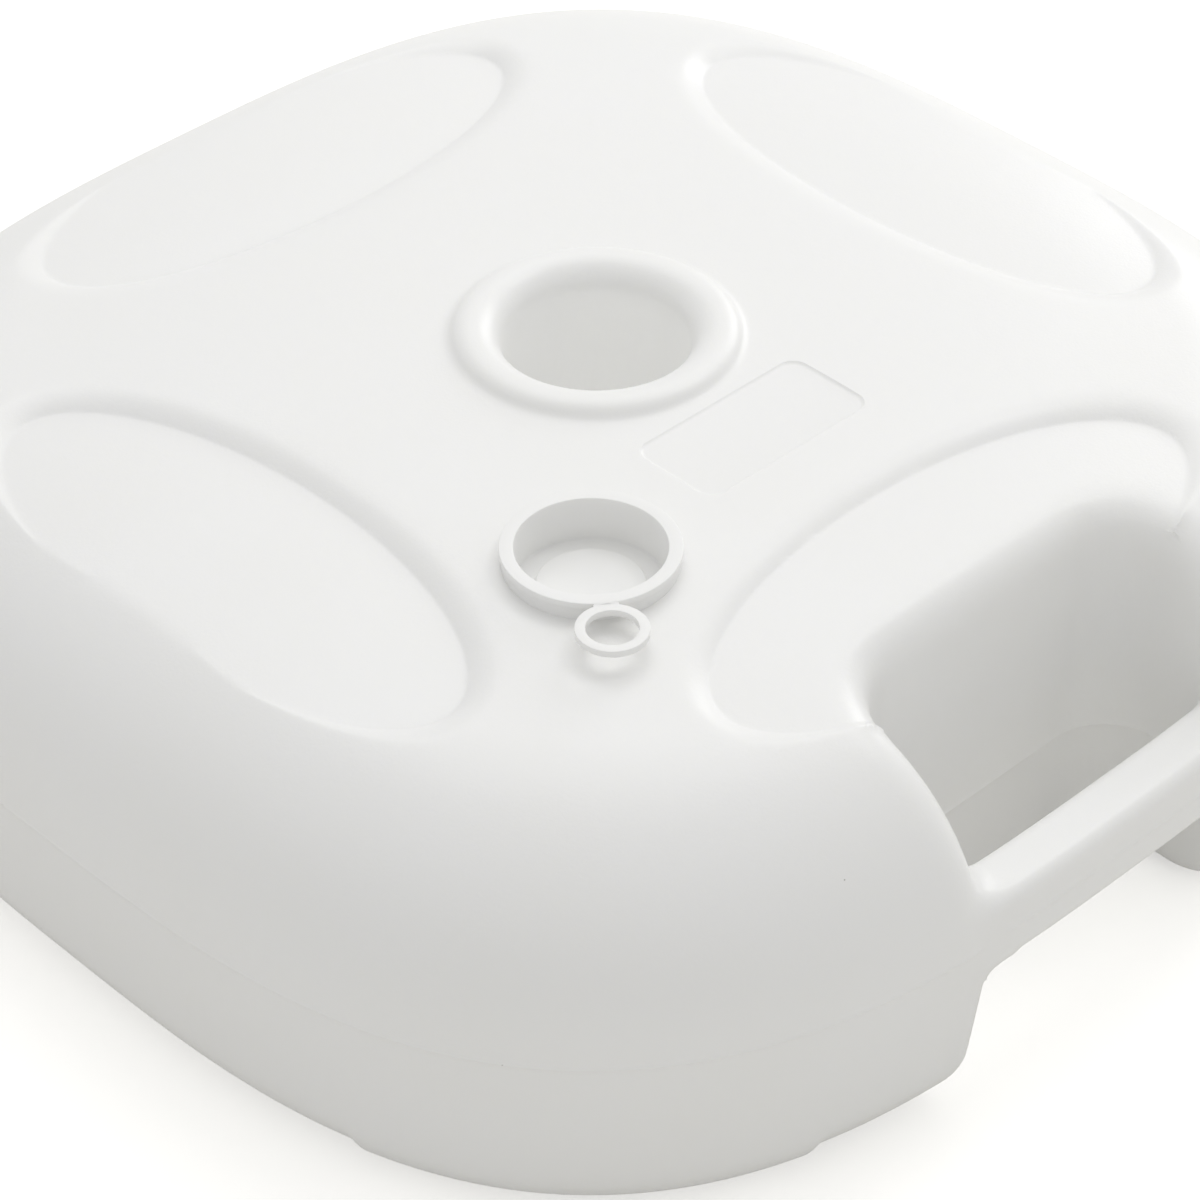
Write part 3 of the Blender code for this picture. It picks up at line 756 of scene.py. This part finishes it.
def plastic(name, base, fleck, roughness, grain, bump_height, speck):
    """Satin polyethylene: a little light passes under its skin, and its gloss is cloudy."""
    made = bpy.data.materials.new(name)
    made.use_nodes = True
    tree = made.node_tree
    shader = tree.nodes["Principled BSDF"]
    marks = tree.nodes.new("ShaderNodeGroup")
    marks.node_tree = bpy.data.node_groups.get("mould grain") or mould_grain_group()
    marks.inputs["Grain size"].default_value = grain
    marks.inputs["Speck size"].default_value = speck
    tint = tree.nodes.new("ShaderNodeMix")
    tint.data_type = "RGBA"
    tint.inputs["A"].default_value = (*base, 1)
    tint.inputs["B"].default_value = (*(part * share for part, share in zip(base, CLOUD_TINT)), 1)
    link(tree, marks.outputs["Cloud"], tint.inputs["Factor"])
    flecked = tree.nodes.new("ShaderNodeMix")
    flecked.data_type = "RGBA"
    flecked.inputs["B"].default_value = (*fleck, 1)
    soft = tree.nodes.new("ShaderNodeMath")
    soft.operation = "MULTIPLY"
    soft.inputs[1].default_value = 0.55
    link(tree, marks.outputs["Specks"], soft.inputs[0])
    link(tree, soft.outputs[0], flecked.inputs["Factor"])
    link(tree, tint.outputs["Result"], flecked.inputs["A"])
    link(tree, flecked.outputs["Result"], shader.inputs["Base Color"])
    gloss = tree.nodes.new("ShaderNodeMapRange")
    gloss.interpolation_type = "SMOOTHSTEP"
    gloss.inputs["From Min"].default_value = 0.1
    gloss.inputs["From Max"].default_value = 0.9
    gloss.inputs["To Min"].default_value = roughness + GLOSS_SWING[0]
    gloss.inputs["To Max"].default_value = roughness + GLOSS_SWING[1]
    link(tree, marks.outputs["Cloud"], gloss.inputs["Value"])
    link(tree, gloss.outputs["Result"], shader.inputs["Roughness"])
    bump = tree.nodes.new("ShaderNodeBump")
    bump.inputs["Strength"].default_value = 1.0
    bump.inputs["Distance"].default_value = bump_height
    link(tree, marks.outputs["Height"], bump.inputs["Height"])
    link(tree, bump.outputs["Normal"], shader.inputs["Normal"])
    shader.inputs["IOR"].default_value = 1.50
    shader.inputs["Subsurface Weight"].default_value = 0.20
    shader.inputs["Subsurface Radius"].default_value = (1.0, 1.0, 0.9)
    shader.inputs["Subsurface Scale"].default_value = 0.003
    return made


# --- The stage ----------------------------------------------------------------------------------------------------


def floor_material(looks):
    """A pale floor that the camera sees brighter than it lights the object, with the object's shadow on it."""
    made = bpy.data.materials.new("studio floor")
    made.use_nodes = True
    tree = made.node_tree
    shader = tree.nodes["Principled BSDF"]
    shader.inputs["Base Color"].default_value = (*looks.floor, 1)
    shader.inputs["Roughness"].default_value = 0.9
    shader.inputs["Specular IOR Level"].default_value = 0.0
    glow = tree.nodes.new("ShaderNodeEmission")
    glow.inputs["Strength"].default_value = 0.45
    both = tree.nodes.new("ShaderNodeAddShader")
    seen = tree.nodes.new("ShaderNodeLightPath")
    mix = tree.nodes.new("ShaderNodeMixShader")
    link(tree, shader.outputs[0], both.inputs[0])
    link(tree, glow.outputs[0], both.inputs[1])
    link(tree, seen.outputs["Is Camera Ray"], mix.inputs["Fac"])
    link(tree, shader.outputs[0], mix.inputs[1])
    link(tree, both.outputs[0], mix.inputs[2])
    link(tree, mix.outputs[0], tree.nodes["Material Output"].inputs["Surface"])
    return made


def studio_world(looks):
    """An even pale room that the camera sees as white."""
    world = bpy.data.worlds.new("pale room")
    world.use_nodes = True
    tree = world.node_tree
    room = tree.nodes["Background"]
    room.inputs["Color"].default_value = (1, 1, 1, 1)
    room.inputs["Strength"].default_value = looks.surround
    white = tree.nodes.new("ShaderNodeBackground")
    white.inputs["Color"].default_value = (1, 1, 1, 1)
    white.inputs["Strength"].default_value = 1.0
    seen = tree.nodes.new("ShaderNodeLightPath")
    mix = tree.nodes.new("ShaderNodeMixShader")
    link(tree, seen.outputs["Is Camera Ray"], mix.inputs["Fac"])
    link(tree, room.outputs[0], mix.inputs[1])
    link(tree, white.outputs[0], mix.inputs[2])
    link(tree, mix.outputs[0], tree.nodes["World Output"].inputs["Surface"])
    bpy.context.scene.world = world


def area_light(name, power, size, place, aim):
    data = bpy.data.lights.new(name, "AREA")
    data.energy = power
    data.shape = "DISK"
    data.size = size
    lamp = bpy.data.objects.new(name, data)
    lamp.location = place
    lamp.rotation_euler = (aim - place).to_track_quat("-Z", "Y").to_euler()
    bpy.context.scene.collection.objects.link(lamp)
    return data


def bore_light(sizes):
    """The glow in the bore: the thin walls let light through, and it is as strong high up as it is low down."""
    radius = sizes.mouth.bore - sizes.mouth.lower_edge
    data = area_light("bore light", sizes.looks.bore_light, 2 * radius, Vector((0, 0, sizes.tank.foot_height)),
                      Vector((0, 0, sizes.tank.plateau)))
    data.use_nodes = True
    tree = data.node_tree
    even = tree.nodes.new("ShaderNodeLightFalloff")
    even.inputs["Strength"].default_value = 1.0
    link(tree, even.outputs["Constant"], tree.nodes["Emission"].inputs["Strength"])


def add_camera():
    """The camera looks at a point on the top from the near corner; its distance and lens set the perspective."""
    target = Vector((-0.0925, -0.0966, 0.141))
    azimuth, elevation, distance = math.radians(-44.25), math.radians(38.86), 1.18665
    back = Vector((math.sin(azimuth) * math.cos(elevation), -math.cos(azimuth) * math.cos(elevation),
                   math.sin(elevation)))
    data = bpy.data.cameras.new("camera")
    data.sensor_width = 36
    data.lens = 123.1
    camera = bpy.data.objects.new("camera", data)
    camera.location = target + back * distance
    camera.rotation_euler = (-back).to_track_quat("-Z", "Y").to_euler()
    bpy.context.scene.collection.objects.link(camera)
    bpy.context.scene.camera = camera


# --- Operators, panel and registration ----------------------------------------------------------------------------


class PARASOL_OT_tank(bpy.types.Operator):
    """Model the hollow tank with its bore, dishes, notch, grip bar and filler neck"""

    bl_idname = "parasol.tank"
    bl_label = "Tank"

    def execute(self, context):
        sizes = context.scene.parasol_base
        looks = sizes.looks
        material = plastic("tank plastic", looks.tank, looks.fleck, looks.tank_roughness,
                           grain=0.0010, bump_height=0.00011, speck=0.00028)
        finish_piece(make_tank(sizes), material, "tank", "tank")
        return {"FINISHED"}


class PARASOL_OT_plug(bpy.types.Operator):
    """Model the push-in filler plug"""

    bl_idname = "parasol.plug"
    bl_label = "Filler plug"

    def execute(self, context):
        sizes = context.scene.parasol_base
        looks = sizes.looks
        material = plastic("plug plastic", looks.plug, looks.fleck, looks.plug_roughness,
                           grain=0.0005, bump_height=0.00002, speck=0)
        finish_piece(make_plug(sizes), material, "plug", "filler_plug")
        return {"FINISHED"}


class PARASOL_OT_ring(bpy.types.Operator):
    """Model the pull ring and the web that it bends on"""

    bl_idname = "parasol.ring"
    bl_label = "Pull ring"

    def execute(self, context):
        sizes = context.scene.parasol_base
        looks = sizes.looks
        material = plastic("ring plastic", looks.plug, looks.fleck, looks.plug_roughness,
                           grain=0.0005, bump_height=0.00002, speck=0)
        finish_piece(make_ring(sizes), material, "ring", "pull_ring")
        web = make_web(sizes)
        finish_piece(web, material, None, None)
        out = (fold_frame().to_3x3() @ Vector((1, 0, 0))) * sizes.plug.gap
        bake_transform(web)
        return {"FINISHED"}


class PARASOL_OT_stage(bpy.types.Operator):
    """Set up the floor, the lights, the room and the camera"""

    bl_idname = "parasol.stage"
    bl_label = "Stage"

    def execute(self, context):
        looks = context.scene.parasol_base.looks
        bm = bmesh.new()
        bmesh.ops.create_grid(bm, x_segments=1, y_segments=1, size=6)
        floor = new_object("floor", bm)
        floor.data.materials.append(floor_material(looks))
        studio_world(looks)
        middle = Vector((0, 0, 0.1))
        area_light("high light", looks.high_light, 1.8, Vector((0.60, 0.60, 1.91)), middle)
        area_light("low light", looks.low_light, 1.0, Vector((1.78, 0.42, 0.87)), middle)
        area_light("front light", looks.front_light, 0.5, Vector((1.12, -0.26, 1.74)), middle)
        bore_light(context.scene.parasol_base)
        add_camera()
        context.scene.view_settings.view_transform = "Standard"
        return {"FINISHED"}


class ParasolBase(bpy.types.PropertyGroup):
    tank: PointerProperty(type=TankSizes)
    mouth: PointerProperty(type=MouthSizes)
    dish: PointerProperty(type=DishSizes)
    handle: PointerProperty(type=HandleSizes)
    plug: PointerProperty(type=PlugSizes)
    ring: PointerProperty(type=RingSizes)
    looks: PointerProperty(type=Looks)


class PARASOL_PT_panel(bpy.types.Panel):
    bl_label = "Parasol Base"
    bl_idname = "PARASOL_PT_panel"
    bl_space_type = "VIEW_3D"
    bl_region_type = "UI"
    bl_category = "Parasol Base"

    def draw(self, context):
        for operator in STEPS:
            self.layout.operator(operator.bl_idname)


STEPS = (PARASOL_OT_tank, PARASOL_OT_plug, PARASOL_OT_ring, PARASOL_OT_stage)
GROUPS = (TankSizes, MouthSizes, DishSizes, HandleSizes, PlugSizes, RingSizes, Looks, ParasolBase)


def register():
    for made in (*GROUPS, *STEPS, PARASOL_PT_panel):
        bpy.utils.register_class(made)
    bpy.types.Scene.parasol_base = PointerProperty(type=ParasolBase)


def unregister():
    del bpy.types.Scene.parasol_base
    for made in reversed((*GROUPS, *STEPS, PARASOL_PT_panel)):
        bpy.utils.unregister_class(made)


def main():
    register()
    bpy.ops.parasol.tank()
    bpy.ops.parasol.plug()
    bpy.ops.parasol.ring()
    bpy.ops.parasol.stage()


if __name__ == "__main__":
    main()
